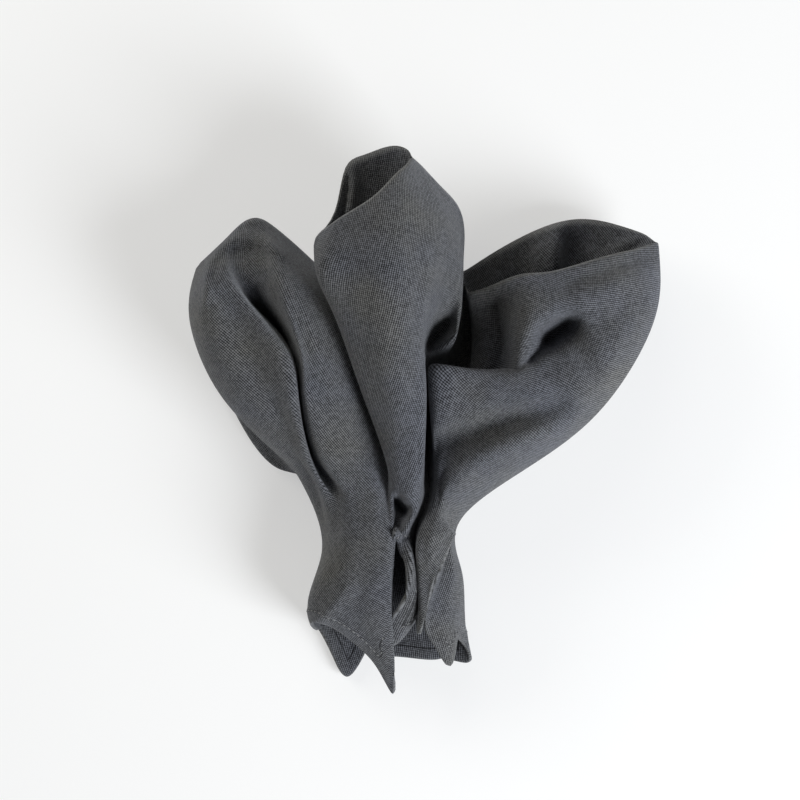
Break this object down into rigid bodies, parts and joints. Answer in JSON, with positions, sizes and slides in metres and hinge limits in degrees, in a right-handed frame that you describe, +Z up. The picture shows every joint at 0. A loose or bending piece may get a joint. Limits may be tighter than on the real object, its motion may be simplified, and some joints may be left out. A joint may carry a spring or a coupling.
{
  "type": "gathered hand towel",
  "caption": "Dark grey flat-weave cotton hand towel with narrow stitched hems, gathered at its middle into three loops with its corners trailing",
  "frame": {"origin": "centre of the bounding box in X and Y, on the surface that the towel lies on", "axes": "+Z up from the surface, +Y from the trailing corners towards the loops, +X towards the largest loop"},
  "size_m": [0.2232, 0.257, 0.0837],
  "materials": {
    "linen": "matte plain weave"
  },
  "bodies": {
    "root": {"towel": "linen"}
  },
  "joints": []
}
